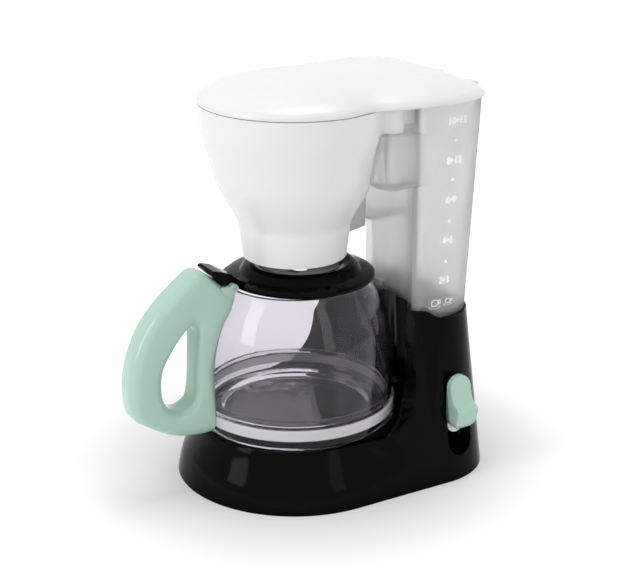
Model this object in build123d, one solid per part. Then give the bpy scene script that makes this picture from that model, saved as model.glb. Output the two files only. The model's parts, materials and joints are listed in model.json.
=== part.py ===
from build123d import *
import math
import os

# Toy coffee maker. Millimetres, +Z up, origin on the jug's axis at the ground.
# The handle points to -Y, the tank stands at +Y and the switch is on the +X side.

# base and tower
BASE_HALF = 62.0
BASE_REAR_Y = 94.0
BASE_CORNER_R = 38.0
BASE_TOP_Z = 29.5
BASE_PROFILE = ((0.0, 0.0), (0.9, 5.0), (2.8, 12.0), (5.6, 17.5), (8.4, 23.5), (10.4, 29.5))
TOWER_TOP_Z = 90.0
TOWER_HALF = 44.0
TOWER_REAR_Y = 86.0
TOWER_CORNER_R = 22.0
TOWER_SHOULDER_Z = 84.0
TOWER_FRONT_Y = 44.0
TOWER_FRONT = ((16.0, 29.5), (33.0, 36.5), (41.0, 54.0), (44.0, 92.0))
RIM_STEP_Y = (47.0, 63.0)
NICHE_R = 57.5
WALL = 2.2
BOSS_R = 4.0
FAR = 230.0
PLATE_Z = 1.5
PLATE_T = 2.0
FOOT_R = 6.0

# tank
TANK_BOTTOM_Z = 81.0
TANK_TOP_Z = 195.7
TANK_HALF = 46.0
TANK_HALF_LOW = 43.2
TANK_REAR_Y = 91.0
TANK_REAR_Y_LOW = 86.0
TANK_CORNER_R = 22.0
TANK_EDGE_R = 5.0
TANK_FRONT_R = 60.0
TANK_WALL = 1.8
NOTCH_X = -21.0
NOTCH_TOP_Z = 119.0

# pivot of the filter holder
PIVOT_X = 35.5
PIVOT_Y = 34.0
SOCKET_R = 10.0
SOCKET_Z0 = 155.2
SOCKET_Z1 = 182.6
SOCKET_BORE_Z = 157.3
PIVOT_BORE_R = 2.62
PIVOT_ROD_R = 2.55
PIVOT_POST_R = 3.65
PIVOT_SPIGOT_R = 2.0

# filter holder: radius and height of its outer wall, from the neck up
FUNNEL = (
    (26.2, 117.0), (26.4, 118.2), (27.0, 123.5), (27.7, 128.8), (28.2, 134.3), (31.3, 140.4),
    (34.2, 145.6), (37.0, 150.8), (39.4, 156.0), (41.3, 162.6), (43.3, 170.3), (44.9, 175.4),
    (46.3, 180.5), (47.0, 185.5), (47.5, 195.7),
)
FUNNEL_BEND = (28.2, 134.3)
FUNNEL_WALL = 1.8
FUNNEL_TOP_Z = 195.7
LUG_T = 12.5
SWING = 60
FIN_ANGLE = 110.5
FIN_REACH = 58.0
FIN_T = 2.2
FIN_TOP_Z = 165.0

# lid of the tank
LID_EDGE_Z = 196.1
LID_WALL = 2.0
LID_FRONT_R = 47.5
LID_SIDE = (
    (46.3, 30.0), (48.4, 40.0), (49.9, 52.0), (49.6, 64.0), (47.4, 76.0), (41.0, 85.4), (28.0, 90.4),
    (12.0, 91.8),
)
LID_SPINE = (7.0, 20.0)
LID_RISE = (
    (1.0, 0.0), (1.0, 1.3), (0.985, 2.75), (0.95, 4.1), (0.88, 6.0), (0.78, 8.0), (0.62, 10.0),
    (0.42, 11.6), (0.2, 12.2),
)
LID_HINGE_Y = 94.5
LID_HINGE_Z = 193.0
LID_PIN_R = 1.5
LID_LUG_R = 3.2
LID_LUG_X = 12.0
LID_LUG_W = 7.0

# jug
JUG_Z = 29.9
JUG_WALL = 1.8
JUG_R = 50.2
JUG_SEAM_Z = 42.5
JUG_FOOT = ((0.0, 29.9), (49.2, 29.9), (51.4, 32.0), (51.4, 40.6), (50.0, 42.3), (0.0, 42.3))
JUG_SPIGOT = (42.0, 45.0)
JUG_FLOOR = ((0.0, 32.6), (37.0, 33.4), (38.6, 35.6), (44.4, 36.2), (46.4, 38.0), (46.4, 46.0), (0.0, 46.0))
JUG_BODY = (
    (50.2, 44.0), (50.2, 58.0), (49.8, 63.7), (49.1, 72.0), (47.7, 80.3), (45.0, 88.5),
    (42.6, 94.5), (39.8, 99.8), (38.3, 102.5), (38.0, 104.7),
)
JUG_RIM_Z = 104.7
HANDLE_OUTER = (
    (-52.3, 116.0), (-56.5, 118.2), (-61.5, 116.6), (-76.8, 104.2), (-86.5, 92.8), (-92.6, 80.5),
    (-95.6, 68.5), (-95.8, 55.5), (-94.2, 48.6), (-87.3, 42.4), (-76.0, 35.6), (-65.0, 32.4),
    (-54.5, 32.0),
)
HANDLE_HOLE = (
    (-59.2, 88.0), (-62.2, 90.3), (-67.1, 86.5), (-73.4, 78.0), (-77.5, 69.8), (-78.6, 61.0),
    (-77.6, 54.3), (-74.5, 49.4), (-68.5, 47.6), (-63.0, 50.2), (-61.2, 55.0), (-60.6, 63.0),
    (-60.2, 71.0), (-59.6, 80.0),
)
HANDLE_TOP_JUG = (-39.5, 102.0)
HANDLE_FOOT_JUG = (-51.0, 33.0)
HANDLE_HALF = 8.5
HANDLE_SPLIT_X = -4.0
HANDLE_WALL = 2.2

# lid of the jug
JUG_LID_Z = 105.0
JUG_LID_Y = 3.2
JUG_HINGE_Y = -39.0
JUG_HINGE_Z = 107.0
JUG_PIN_R = 1.0
JUG_LID_SIDE = (
    (0.0, 1.0), (31.0, 1.0), (31.0, -2.0), (33.0, -2.0), (33.0, 0.0), (37.9, 0.0), (37.9, 1.4),
    (36.5, 2.2), (31.0, 3.2), (28.5, 6.6), (25.5, 8.0), (22.0, 7.0), (20.0, 4.2), (17.0, 3.2), (0.0, 3.2),
)
JUG_LID_ARM = (
    (-30.0, 105.6), (-36.6, 105.6), (-39.0, 104.6), (-41.6, 106.9), (-50.6, 115.6), (-51.4, 117.0),
    (-50.0, 118.0), (-45.0, 116.6), (-39.5, 113.9), (-34.5, 109.8), (-30.0, 107.6),
)
JUG_LID_LEAF = (
    (-43.4, 108.7), (-50.6, 115.6), (-51.4, 117.0), (-50.0, 118.0), (-45.0, 116.6), (-42.6, 115.5),
)
EAR_X = (5.2, 8.0)

# switch on the +X wall
SWITCH_Y = 65.65
RECESS_X = 50.0
RECESS_HALF = 8.25
RECESS_Z0 = 12.0
RECESS_Z1 = 58.0
SLOT_HALF = 3.4
SLOT_Z0 = 16.0
SLOT_Z1 = 50.0
SHOE_X = 50.3
SHOE_HALF = 5.0
SHOE_Z0 = 22.5
BUTTON_X = 52.0
BUTTON_HALF = 6.25
BUTTON_Z0 = 26.0
BUTTON_Z1 = 55.0

SCREW_R = 1.5
SCREW_HEAD_R = 2.8
SCREW_HOLE_R = 1.52
BASE_SCREWS = ((-38.0, -22.0), (38.0, -22.0), (-38.0, 68.0), (38.0, 68.0))
TANK_SCREWS = ((-14.0, 72.0), (14.0, 72.0), (0.0, 80.0))
GUIDE_X = 42.0
GUIDE_T = 2.0
GUIDE_HALF = 6.6
GUIDE_SLOT_HALF = 5.0
GUIDE_REACH = 4.0
GUIDE_Z0 = 13.0
GUIDE_Z1 = 54.0
GUIDE_FLANGE_T = 2.0
GUIDE_SCREW_R = 1.0
GUIDE_SCREW_Y = 52.9
GUIDE_SCREW_Z = (22.0, 50.0)
SPRING_T = 0.5
HANDLE_SCREWS = ((-59.5, 105.0), (-72.0, 41.0))
HANDLE_BOSS_R = 3.0


def at(x, y, z):
    return Pos(x, y, z)


def cyl(radius, z0, z1, x=0.0, y=0.0):
    return at(x, y, (z0 + z1) / 2) * Cylinder(radius, z1 - z0)


def box(x0, x1, y0, y1, z0, z1):
    centre = at((x0 + x1) / 2, (y0 + y1) / 2, (z0 + z1) / 2)
    return centre * Box(x1 - x0, y1 - y0, z1 - z0)


def along_x(radius, x0, x1, y, z):
    return at((x0 + x1) / 2, y, z) * Rot(0, 90, 0) * Cylinder(radius, x1 - x0)


def revolved(points):
    """Solid of revolution about Z from (radius, height) points."""
    face = Plane.XZ * make_face(Polyline(*points, close=True))
    return revolve(face, Axis.Z)


def revolved_runs(*runs):
    """Solid of revolution about Z; each run of (radius, height) points is a smooth curve or a line."""
    edges = []
    for run in runs:
        edges.append(Line(*run) if len(run) == 2 else Spline(*run))
    ends = [run[0] for run in runs] + [runs[-1][-1]]
    edges.append(Polyline(ends[-1], (0, ends[-1][1]), (0, ends[0][1]), ends[0]))
    return revolve(Plane.XZ * make_face(edges), Axis.Z)


def side_prism(points, x0, x1):
    """Prism along X from (y, z) points."""
    face = Plane.YZ.offset(x0) * make_face(Polyline(*points, close=True))
    return extrude(face, x1 - x0, dir=(1, 0, 0))


def one(shape):
    """The largest solid of a result."""
    solids = shape.solids()
    return max(solids, key=lambda s: s.volume)


def d_section(half, rear_y, corner_r, z):
    """D-shaped outline: half circle at the front, rounded corners at the rear."""
    side_y = rear_y - corner_r
    inner_x = half - corner_r
    front = ThreePointArc((-half, 0), (0, -half), (half, 0))
    right = Line((half, 0), (half, side_y))
    s = corner_r * math.sqrt(0.5)
    corner_b = ThreePointArc((half, side_y), (inner_x + s, side_y + s), (inner_x, rear_y))
    back = Line((inner_x, rear_y), (-inner_x, rear_y))
    corner_a = ThreePointArc((-inner_x, rear_y), (-inner_x - s, side_y + s), (-half, side_y))
    left = Line((-half, side_y), (-half, 0))
    return at(0, 0, z) * make_face([front, right, corner_b, back, corner_a, left])


def u_section(half, front_y, rear_y, edge_r, corner_r, z):
    """Outline with small rounded corners at the front and large ones at the rear."""
    side_y = rear_y - corner_r
    inner_x = half - corner_r
    s = corner_r * math.sqrt(0.5)
    edge_y = front_y + edge_r
    edge_x = half - edge_r
    e = edge_r * math.sqrt(0.5)
    front = Line((-edge_x, front_y), (edge_x, front_y))
    edge_b = ThreePointArc((edge_x, front_y), (edge_x + e, edge_y - e), (half, edge_y))
    right = Line((half, edge_y), (half, side_y))
    corner_b = ThreePointArc((half, side_y), (inner_x + s, side_y + s), (inner_x, rear_y))
    back = Line((inner_x, rear_y), (-inner_x, rear_y))
    corner_a = ThreePointArc((-inner_x, rear_y), (-inner_x - s, side_y + s), (-half, side_y))
    left = Line((-half, side_y), (-half, edge_y))
    edge_a = ThreePointArc((-half, edge_y), (-edge_x - e, edge_y - e), (-edge_x, front_y))
    return at(0, 0, z) * make_face([front, edge_b, right, corner_b, back, corner_a, left, edge_a])


# ---------------------------------------------------------------- base and tower

def pull_in(z):
    """How far the front of the base is drawn in at a height."""
    for (pull_a, za), (pull_b, zb) in zip(BASE_PROFILE, BASE_PROFILE[1:]):
        if z <= zb:
            return pull_a + (pull_b - pull_a) * (z - za) / (zb - za)
    return BASE_PROFILE[-1][0] + (z - BASE_PROFILE[-1][1]) * 0.2


def housing_section(inset, z):
    """Outline at a height: round front, side easing out to the tower's wall, round rear corners."""
    t = z / TOWER_TOP_Z
    half = BASE_HALF + (TOWER_HALF - BASE_HALF) * t - inset
    rear = BASE_REAR_Y + (TOWER_REAR_Y - BASE_REAR_Y) * t - inset
    corner = BASE_CORNER_R + (TOWER_CORNER_R - BASE_CORNER_R) * t - inset
    front_r = BASE_HALF - pull_in(z) - inset
    side_y = rear - corner
    inner_x = half - corner
    s = corner * math.sqrt(0.5)
    front = ThreePointArc((-front_r, 0), (0, -front_r), (front_r, 0))
    wall_y = TOWER_FRONT_Y
    right = Spline((front_r, 0), (half, wall_y), tangents=((0, 1), (0, 1)))
    right_wall = Line((half, wall_y), (half, side_y))
    right_corner = ThreePointArc((half, side_y), (inner_x + s, side_y + s), (inner_x, rear))
    back = Line((inner_x, rear), (-inner_x, rear))
    left_corner = ThreePointArc((-inner_x, rear), (-inner_x - s, side_y + s), (-half, side_y))
    left_wall = Line((-half, side_y), (-half, wall_y))
    left = Spline((-half, wall_y), (-front_r, 0), tangents=((0, -1), (0, -1)))
    outline = [front, right, right_wall, right_corner, back, left_corner, left_wall, left]
    return at(0, 0, z) * make_face(outline)


def tower_front_cut(inset):
    """Space in front of the tower: upright above, running out into the base below."""
    foot, bend, rise, head = [(y + inset, z) for y, z in TOWER_FRONT]
    foot = (foot[0], foot[1] - inset)
    bend = (bend[0], bend[1] - inset * 0.4)
    over = (head[0], FAR)
    face = make_face([
        Line((-FAR, foot[1]), foot),
        ThreePointArc(foot, bend, rise),
        Line(rise, head),
        Line(head, over),
        Line(over, (-FAR, FAR)),
        Line((-FAR, FAR), (-FAR, foot[1])),
    ])
    return extrude(Plane.YZ.offset(-FAR / 2) * face, FAR, dir=(1, 0, 0))


def rim_cut(drop):
    """Everything above the tower's rim, which steps down behind the front corners."""
    high = TOWER_TOP_Z - drop
    low = TOWER_SHOULDER_Z - drop
    front_y, rear_y = RIM_STEP_Y
    face = make_face([
        Line((-FAR, high), (front_y, high)),
        Spline((front_y, high), ((front_y + rear_y) / 2, (high + low) / 2), (rear_y, low),
               tangents=((1, 0), (1, 0))),
        Line((rear_y, low), (FAR, low)),
        Line((FAR, low), (FAR, FAR)),
        Line((FAR, FAR), (-FAR, FAR)),
        Line((-FAR, FAR), (-FAR, high)),
    ])
    return extrude(Plane.YZ.offset(-FAR / 2) * face, FAR, dir=(1, 0, 0))


def housing_form(inset):
    """Whole outer form of base and tower, or the space inside when inset by the wall."""
    levels = [z for pull, z in BASE_PROFILE] + [TOWER_TOP_Z + 6]
    levels[-2] -= inset
    form = loft([housing_section(inset, z) for z in levels], ruled=True)
    form -= tower_front_cut(inset)
    form -= cyl(NICHE_R + inset, BASE_TOP_Z - inset, 130)
    return form - rim_cut(inset)


def switch_recess(inset):
    """Recess with a round bottom that the switch button slides in."""
    half = RECESS_HALF + inset
    low = RECESS_Z0 + RECESS_HALF
    x0 = RECESS_X - inset
    pocket = box(x0, 75, SWITCH_Y - half, SWITCH_Y + half, low, RECESS_Z1 + inset)
    pocket += along_x(half, x0, 75, SWITCH_Y, low)
    return pocket


def base_housing():
    body = housing_form(0)
    hollow = housing_form(WALL) - switch_recess(WALL)
    body -= switch_recess(0)
    body -= hollow
    for x, y in BASE_SCREWS:
        body += cyl(BOSS_R, PLATE_Z + PLATE_T + 0.1, BASE_TOP_Z - 1.0, x, y)
        body -= cyl(SCREW_HOLE_R, 0, 14.0, x, y)
    for x, y in TANK_SCREWS:
        body -= cyl(SCREW_R + 0.3, TOWER_SHOULDER_Z - 10, TOWER_TOP_Z, x, y)
    slot_y0 = SWITCH_Y - SLOT_HALF
    body -= box(RECESS_X - 6, RECESS_X + 1, slot_y0, slot_y0 + 2 * SLOT_HALF, SLOT_Z0, SLOT_Z1)
    for z in GUIDE_SCREW_Z:
        body += along_x(2.6, GUIDE_X + GUIDE_FLANGE_T + 0.1, 60, GUIDE_SCREW_Y, z) & housing_form(1.0)
        body -= along_x(GUIDE_SCREW_R, GUIDE_X, GUIDE_X + 8.5, GUIDE_SCREW_Y, z)
    return one(body)


def base_plate():
    low = PLATE_Z
    inset = WALL + 1.15
    face = d_section(BASE_HALF - inset, BASE_REAR_Y - inset, BASE_CORNER_R - inset, low)
    plate = extrude(face, PLATE_T)
    for x, y in BASE_SCREWS:
        plate += cyl(FOOT_R, 0, low, x * 0.7, y)
        plate -= cyl(SCREW_R + 0.2, low, low + PLATE_T, x, y)
    return one(plate)


def base_screws():
    screws = []
    for x, y in BASE_SCREWS:
        head = cyl(SCREW_HEAD_R, PLATE_Z - 1.1, PLATE_Z, x, y)
        head -= box(x - 2.0, x + 2.0, y - 0.35, y + 0.35, PLATE_Z - 1.2, PLATE_Z - 0.6)
        screws.append(one(head + cyl(SCREW_R, PLATE_Z, 13.0, x, y)))
    return Compound(children=screws)


# ---------------------------------------------------------------- tank

def tank_form(inset, z0, z1):
    def section(z):
        t = (z - TOWER_SHOULDER_Z) / (TANK_TOP_Z - TOWER_SHOULDER_Z)
        half = TANK_HALF_LOW + (TANK_HALF - TANK_HALF_LOW) * t - inset
        rear = TANK_REAR_Y_LOW + (TANK_REAR_Y - TANK_REAR_Y_LOW) * t - inset
        return u_section(half, TOWER_FRONT_Y + inset, rear, TANK_EDGE_R - inset, TANK_CORNER_R - inset, z)
    walls = loft([section(z0), section(z1)], ruled=True)
    return walls - cyl(TANK_FRONT_R + inset, z0 - 1, z1 + 1)


def tank_notch(inset):
    return box(-80, NOTCH_X + inset, 0, 120, TANK_BOTTOM_Z - 10, NOTCH_TOP_Z + inset)


def socket_form(radius, z0, z1):
    """Capsule in plan, from the pivot back into the tank."""
    arm = box(PIVOT_X - radius, PIVOT_X + radius, PIVOT_Y, PIVOT_Y + 20, z0, z1)
    return cyl(radius, z0, z1, PIVOT_X, PIVOT_Y) + arm


def water_tank():
    outer = tank_form(0, TANK_BOTTOM_Z, TANK_TOP_Z) & rim_cut(0)
    outer -= tank_notch(0)
    hollow = tank_form(TANK_WALL, TANK_BOTTOM_Z, TANK_TOP_Z + 2) & rim_cut(-TANK_WALL)
    hollow -= tank_notch(TANK_WALL)
    body = outer - hollow
    socket = socket_form(SOCKET_R, SOCKET_Z0, SOCKET_Z1)
    foot_edges = socket.edges().group_by(Axis.Z)[0].filter_by(GeomType.CIRCLE)
    socket = fillet(foot_edges, 3.0)
    body += socket - hollow
    body -= cyl(PIVOT_BORE_R, SOCKET_BORE_Z, SOCKET_Z1 + 1, PIVOT_X, PIVOT_Y)
    for x, y in TANK_SCREWS:
        body += cyl(BOSS_R, TOWER_SHOULDER_Z, TOWER_SHOULDER_Z + 8.0, x, y)
        body -= cyl(SCREW_HOLE_R, TOWER_SHOULDER_Z - 5, TOWER_SHOULDER_Z + 6.0, x, y)
    for side in (-1, 1):
        body += hinge_ear(side)
    return one(body)


def hinge_ear(side):
    """Ear on the tank's rear wall that carries one lid pin."""
    inner = LID_LUG_X - 4.3
    x0, x1 = sorted((side * inner, side * (inner + 4.0)))
    ear = along_x(LID_LUG_R, x0, x1, LID_HINGE_Y, LID_HINGE_Z)
    ear += box(x0, x1, TANK_REAR_Y - 1.2, LID_HINGE_Y, LID_HINGE_Z - LID_LUG_R, LID_HINGE_Z + 0.5)
    ear -= along_x(LID_PIN_R, x0 - 1, x1 + 1, LID_HINGE_Y, LID_HINGE_Z)
    return ear


def tank_screws():
    screws = []
    for x, y in TANK_SCREWS:
        low = TOWER_SHOULDER_Z - WALL
        head = cyl(SCREW_HEAD_R, low - 1.6, low, x, y)
        head -= box(x - 2.0, x + 2.0, y - 0.35, y + 0.35, low - 1.7, low - 0.9)
        screws.append(one(head + cyl(SCREW_R, low, TOWER_SHOULDER_Z + 5.5, x, y)))
    return Compound(children=screws)


def lid_hinge_pins():
    pins = []
    for side in (-1, 1):
        inner = LID_LUG_X - 4.8
        x0, x1 = sorted((side * inner, side * (LID_LUG_X + LID_LUG_W - 1.0)))
        pins.append(along_x(LID_PIN_R, x0, x1, LID_HINGE_Y, LID_HINGE_Z))
    return Compound(children=pins)


# ---------------------------------------------------------------- filter holder

def swept_arm(grow, z0, z1):
    """Room that the socket and its arm take, seen from the filter holder as it swings."""
    room = cyl(SOCKET_R + grow, z0, z1, PIVOT_X, PIVOT_Y)
    radius = SOCKET_R + grow
    for turn in range(0, SWING + 1, 15):
        arm = box(-radius, radius, 0, 30, z0, z1)
        room += at(PIVOT_X, PIVOT_Y, 0) * Rot(0, 0, -turn) * arm
    return room


def funnel_form(inset, bottom, top):
    """Outer form of the funnel, or the space in it when inset by the wall."""
    bend = FUNNEL.index(FUNNEL_BEND)
    neck = [(FUNNEL[1][0] - inset, bottom)] + [(r - inset, z) for r, z in FUNNEL[2:bend + 1]]
    bowl = [(r - inset, z) for r, z in FUNNEL[bend:-1]] + [(FUNNEL[-1][0] - inset, top)]
    return revolved_runs(neck, bowl)


def filter_holder():
    full = funnel_form(0, FUNNEL[0][1], FUNNEL_TOP_Z)
    cavity = funnel_form(FUNNEL_WALL, FUNNEL[0][1] + FUNNEL_WALL, FUNNEL_TOP_Z + 1)
    room = swept_arm(0.6, SOCKET_Z0 - 1.0, SOCKET_Z1 + 0.5)
    guard = swept_arm(0.6 + FUNNEL_WALL, SOCKET_Z0 - 1.0 - FUNNEL_WALL, FUNNEL_TOP_Z)
    body = full - room - (cavity - guard)
    for hole in range(6):
        turn = math.radians(60 * hole)
        body -= cyl(2.2, FUNNEL[0][1] - 1, FUNNEL[2][1], 11.0 * math.cos(turn), 11.0 * math.sin(turn))
    lug_z = FUNNEL_TOP_Z - LUG_T
    lug = cyl(PIVOT_POST_R + 2.5, lug_z, FUNNEL_TOP_Z, PIVOT_X, PIVOT_Y)
    lug += at(PIVOT_X, PIVOT_Y, 0) * Rot(0, 0, 43.8) * box(-9, 0, -6.15, 6.15, lug_z, FUNNEL_TOP_Z)
    body += lug
    body -= cyl(PIVOT_SPIGOT_R, lug_z - 1, FUNNEL_TOP_Z + 1, PIVOT_X, PIVOT_Y)
    fin = Rot(0, 0, FIN_ANGLE) * box(0, FIN_REACH, -FIN_T / 2, FIN_T / 2, FUNNEL[0][1], FIN_TOP_Z)
    fin -= funnel_form(0.5, FUNNEL[0][1] - 1, FUNNEL_TOP_Z)
    return one(body + fin)


def filter_pivot_pin():
    lug_z = FUNNEL_TOP_Z - LUG_T
    pin = cyl(PIVOT_ROD_R, SOCKET_BORE_Z + 0.3, SOCKET_Z1 + 0.3, PIVOT_X, PIVOT_Y)
    pin += cyl(PIVOT_POST_R, SOCKET_Z1 + 0.3, lug_z, PIVOT_X, PIVOT_Y)
    return one(pin + cyl(PIVOT_SPIGOT_R, lug_z, FUNNEL_TOP_Z - 0.3, PIVOT_X, PIVOT_Y))


# ---------------------------------------------------------------- lid of tank and funnel

def lid_outline():
    """Right half of the lid's plan, from the front to the rear: round, waisted, then square."""
    points = []
    for step in range(8):
        turn = math.radians(-90 + 16 * step)
        points.append((LID_FRONT_R * math.cos(turn), LID_FRONT_R * math.sin(turn)))
    return points + list(LID_SIDE)


def lid_section(inset, share, z):
    """Plan of the lid at a height, drawn towards the lid's spine to a share of its size."""
    half = []
    for x, y in lid_outline():
        spine_y = min(max(y, LID_SPINE[0]), LID_SPINE[1])
        reach = math.hypot(x, y - spine_y)
        scale = share * (reach - inset) / reach
        half.append((x * scale, spine_y + (y - spine_y) * scale))
    mirrored = [(-x, y) for x, y in reversed(half) if x > 0.01]
    return at(0, 0, z) * make_face(Spline(*(half + mirrored), periodic=True))


def lid_form(inset, drop):
    sections = [lid_section(inset, share, LID_EDGE_Z + rise - drop) for share, rise in LID_RISE]
    return loft(sections, ruled=True)


def tank_lid():
    body = lid_form(0, 0) - lid_form(LID_WALL, LID_WALL)
    for side in (-1, 1):
        x0, x1 = sorted((side * LID_LUG_X, side * (LID_LUG_X + LID_LUG_W)))
        lug = along_x(LID_LUG_R, x0, x1, LID_HINGE_Y, LID_HINGE_Z)
        top = LID_EDGE_Z + LID_RISE[1][1]
        lug += box(x0, x1, LID_HINGE_Y - 2.4, LID_HINGE_Y + LID_LUG_R, LID_HINGE_Z, top)
        lug += box(x0, x1, LID_SIDE[-1][1] - 1.8, LID_HINGE_Y, LID_EDGE_Z, top)
        lug -= along_x(LID_PIN_R + 0.06, x0 - 1, x1 + 1, LID_HINGE_Y, LID_HINGE_Z)
        body += lug
    return one(body)


# ---------------------------------------------------------------- jug

def spout_form(inset):
    """Pouring lip on the +Y side, from the shoulder of the jug out to its tip."""
    low = Plane.XY.offset(78.0) * Pos(0, 36) * Ellipse(13 - inset, 11 - inset)
    mid = Plane.XY.offset(88.0) * Pos(0, 37) * Ellipse(12 - inset, 14 - inset)
    high = Plane.XY.offset(JUG_RIM_Z + 2) * Pos(0, 38) * Ellipse(11 - inset, 19 - inset)
    return loft([low, mid, high])


def spout_slope():
    """What is above the sloping lip of the spout."""
    return side_prism(((28.0, JUG_RIM_Z), (60.0, 90.0), (60.0, 120.0), (28.0, 120.0)), -30, 30)


def jug_form(inset, bottom, top):
    """Round body of the jug, or the space in it when inset by the wall."""
    side = [(r - inset, z) for r, z in JUG_BODY[1:-1]] + [(JUG_BODY[-1][0] - inset, top)]
    return revolved_runs([(JUG_BODY[0][0] - inset, bottom), side[0]], side)


def jug():
    top = JUG_RIM_Z
    body = jug_form(0, JUG_SEAM_Z, top) + (spout_form(0) - box(-30, 30, 20, 80, top, top + 9))
    body -= jug_form(JUG_WALL, JUG_SEAM_Z - 1, top + 1)
    body -= spout_form(JUG_WALL)
    body -= spout_slope() & box(-30, 30, 28, 80, 80, 130)
    return one(body)


def jug_base():
    """Foot of the jug, with a spigot up into the body and a stepped floor."""
    body = revolved(JUG_FOOT)
    body += cyl(JUG_R - JUG_WALL - 0.1, *JUG_SPIGOT)
    return one(body - revolved(JUG_FLOOR))


def shifted(points, distance):
    """Points of an open or closed run, each moved square to the run, to its left."""
    out = []
    for i, (u, v) in enumerate(points):
        before = points[max(i - 1, 0)]
        after = points[min(i + 1, len(points) - 1)]
        du = after[0] - before[0]
        dv = after[1] - before[1]
        length = math.hypot(du, dv)
        out.append((u - dv / length * distance, v + du / length * distance))
    return out


def handle_face():
    """Side view of the handle as a face in the YZ plane."""
    top = HANDLE_OUTER[0]
    foot = HANDLE_OUTER[-1]
    outline = make_face([
        Spline(*HANDLE_OUTER),
        Line(foot, HANDLE_FOOT_JUG),
        Line(HANDLE_FOOT_JUG, (-51.0, 63.0)),
        Spline((-51.0, 63.0), (-49.6, 76.0), (-45.6, 90.0), HANDLE_TOP_JUG),
        Line(HANDLE_TOP_JUG, top),
    ])
    return outline - make_face(Spline(*HANDLE_HOLE, periodic=True))


def handle_core(x0, x1):
    """Hollow inside the handle, a wall's thickness from its outside and its finger hole."""
    ring = shifted(HANDLE_OUTER[1:-1], HANDLE_WALL)
    ring += [(-55.0, 36.0), (-53.4, 40.0), (-53.4, 64.0), (-51.4, 88.0)]
    outline = make_face(Polyline(*ring, close=True))
    closed = HANDLE_HOLE[-1:] + HANDLE_HOLE + HANDLE_HOLE[:1]
    hole = make_face(Spline(*shifted(closed, -HANDLE_WALL)[1:-1], periodic=True))
    return extrude(Plane.YZ.offset(x0) * (outline - hole), x1 - x0, dir=(1, 0, 0))


def handle_block(x0, x1):
    return extrude(Plane.YZ.offset(x0) * handle_face(), x1 - x0, dir=(1, 0, 0))


def handle_solid():
    """Handle with rounded edges all round its outside and its finger hole."""
    solid = handle_block(-HANDLE_HALF, HANDLE_HALF)
    side_edges = [e for e in solid.edges() if abs(abs(e.center().X) - HANDLE_HALF) < 0.05]
    outer_edges = [e for e in side_edges if e.length > 125]
    hole_edges = [e for e in side_edges if 80 < e.length <= 125]
    solid = fillet(outer_edges, 3.0)
    hole_lines = [e for e in solid.edges() for h in hole_edges if (e.center() - h.center()).length < 0.01]
    return fillet(hole_lines, 4.5)


def jug_room():
    """The jug and its foot, which the handle is cut to fit."""
    return cyl(51.6, 20, 42.6) + jug_form(-0.1, 30, JUG_RIM_Z)


def lid_ear(x0, x1):
    """Ear on the handle that carries one end of the jug lid's pin."""
    ear = along_x(2.4, x0, x1, JUG_HINGE_Y, JUG_HINGE_Z)
    stem = ((-41.0, 101.5), (-45.0, 106.0), (-41.0, 108.4), (-37.0, 106.4), (-39.6, 101.5))
    return ear + side_prism(stem, x0, x1) - along_x(JUG_PIN_R, x0 - 1, x1 + 1, JUG_HINGE_Y, JUG_HINGE_Z)


def jug_handle():
    body = handle_solid() & box(HANDLE_SPLIT_X, 30, -120, 0, 0, 140)
    body -= handle_core(HANDLE_SPLIT_X - 1, HANDLE_HALF - HANDLE_WALL)
    for y, z in HANDLE_SCREWS:
        body += along_x(HANDLE_BOSS_R, HANDLE_SPLIT_X, HANDLE_HALF - 1.0, y, z)
        body -= along_x(GUIDE_SCREW_R, HANDLE_SPLIT_X - 1, HANDLE_HALF - 3.0, y, z)
    body -= jug_room()
    return one(body + lid_ear(*EAR_X))


def jug_handle_cover():
    body = handle_solid() & box(-30, HANDLE_SPLIT_X, -120, 0, 0, 140)
    body -= handle_core(-HANDLE_HALF + HANDLE_WALL, HANDLE_SPLIT_X + 1)
    for y, z in HANDLE_SCREWS:
        body -= along_x(GUIDE_SCREW_R + 0.1, -HANDLE_HALF - 1, HANDLE_SPLIT_X + 1, y, z)
        body -= along_x(2.1, -HANDLE_HALF - 1, -HANDLE_HALF + 1.1, y, z)
    body -= jug_room()
    return one(body + lid_ear(-EAR_X[1], -EAR_X[0]))


def jug_handle_screws():
    screws = []
    for y, z in HANDLE_SCREWS:
        head = along_x(2.0, -HANDLE_HALF + 0.1, -HANDLE_HALF + 1.1, y, z)
        shank = along_x(GUIDE_SCREW_R, -HANDLE_HALF + 1.1, HANDLE_HALF - 3.4, y, z)
        screws.append(one(head + shank))
    return Compound(children=screws)


def jug_lid():
    """Dished disc with an arm to its hinge, which ends in a leaf for the thumb."""
    disc = revolved([(r, JUG_LID_Z + z) for r, z in JUG_LID_SIDE])
    body = at(0, JUG_LID_Y, 0) * disc - cyl(5.0, JUG_LID_Z, JUG_LID_Z + 5, 0, JUG_LID_Y)
    body += side_prism(JUG_LID_ARM, -4.8, 4.8)
    body += side_prism(JUG_LID_LEAF, -7.5, 7.5)
    body -= along_x(JUG_PIN_R + 0.05, -10, 10, JUG_HINGE_Y, JUG_HINGE_Z)
    return one(body)


def jug_lid_pin():
    return along_x(JUG_PIN_R, -EAR_X[1], EAR_X[1], JUG_HINGE_Y, JUG_HINGE_Z)


# ---------------------------------------------------------------- switch

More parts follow.
